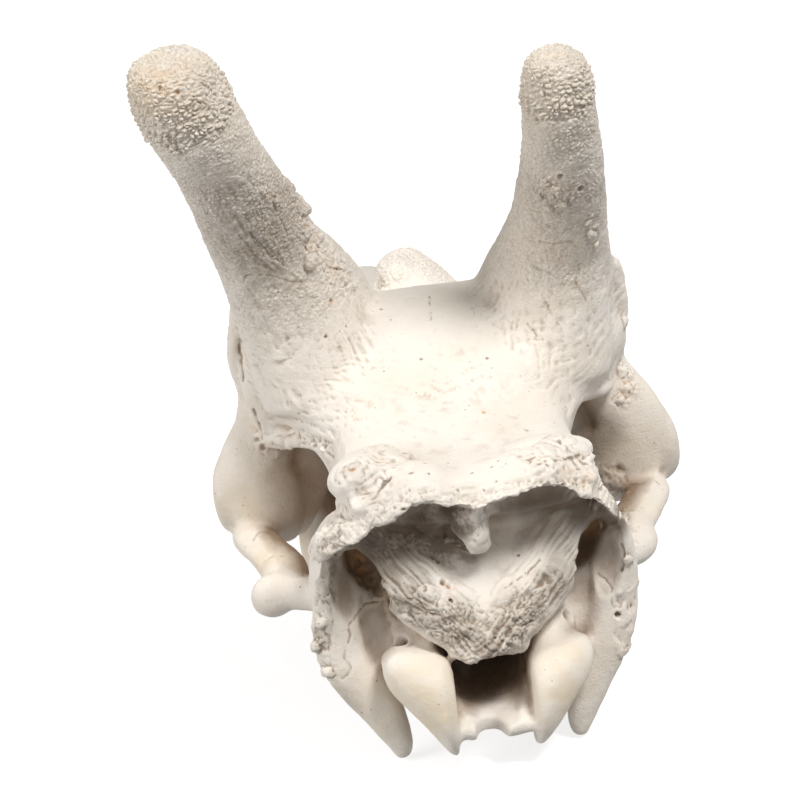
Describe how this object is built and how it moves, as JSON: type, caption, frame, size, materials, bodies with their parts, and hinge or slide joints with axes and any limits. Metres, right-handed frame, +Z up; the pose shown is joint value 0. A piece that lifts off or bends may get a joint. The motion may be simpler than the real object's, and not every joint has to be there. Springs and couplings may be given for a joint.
{
  "type": "giraffe skull",
  "caption": "Cranium of an adult southern giraffe without its lower jaw, with horn-like ossicones, eye sockets, braincase and cheek teeth, resting on its teeth.",
  "frame": {"origin": "on the table under the middle of the whole skull's box", "axes": "+Y towards the muzzle, +X towards the animal's right, +Z up"},
  "size_m": [0.2658, 0.6736, 0.3504],
  "materials": {
    "bone": "dry, chalky ivory bone with brown stain in its pits and cracks",
    "tooth": "worn enamel, stained brown along its ridges"
  },
  "bodies": {
    "root": {"cranium": "bone", "premolar_2_left": "tooth", "premolar_3_left": "tooth", "premolar_4_left": "tooth", "molar_1_left": "tooth", "molar_2_left": "tooth", "molar_3_left": "tooth", "premolar_2_right": "tooth", "premolar_3_right": "tooth", "premolar_4_right": "tooth", "molar_1_right": "tooth", "molar_2_right": "tooth", "molar_3_right": "tooth"}
  },
  "joints": []
}
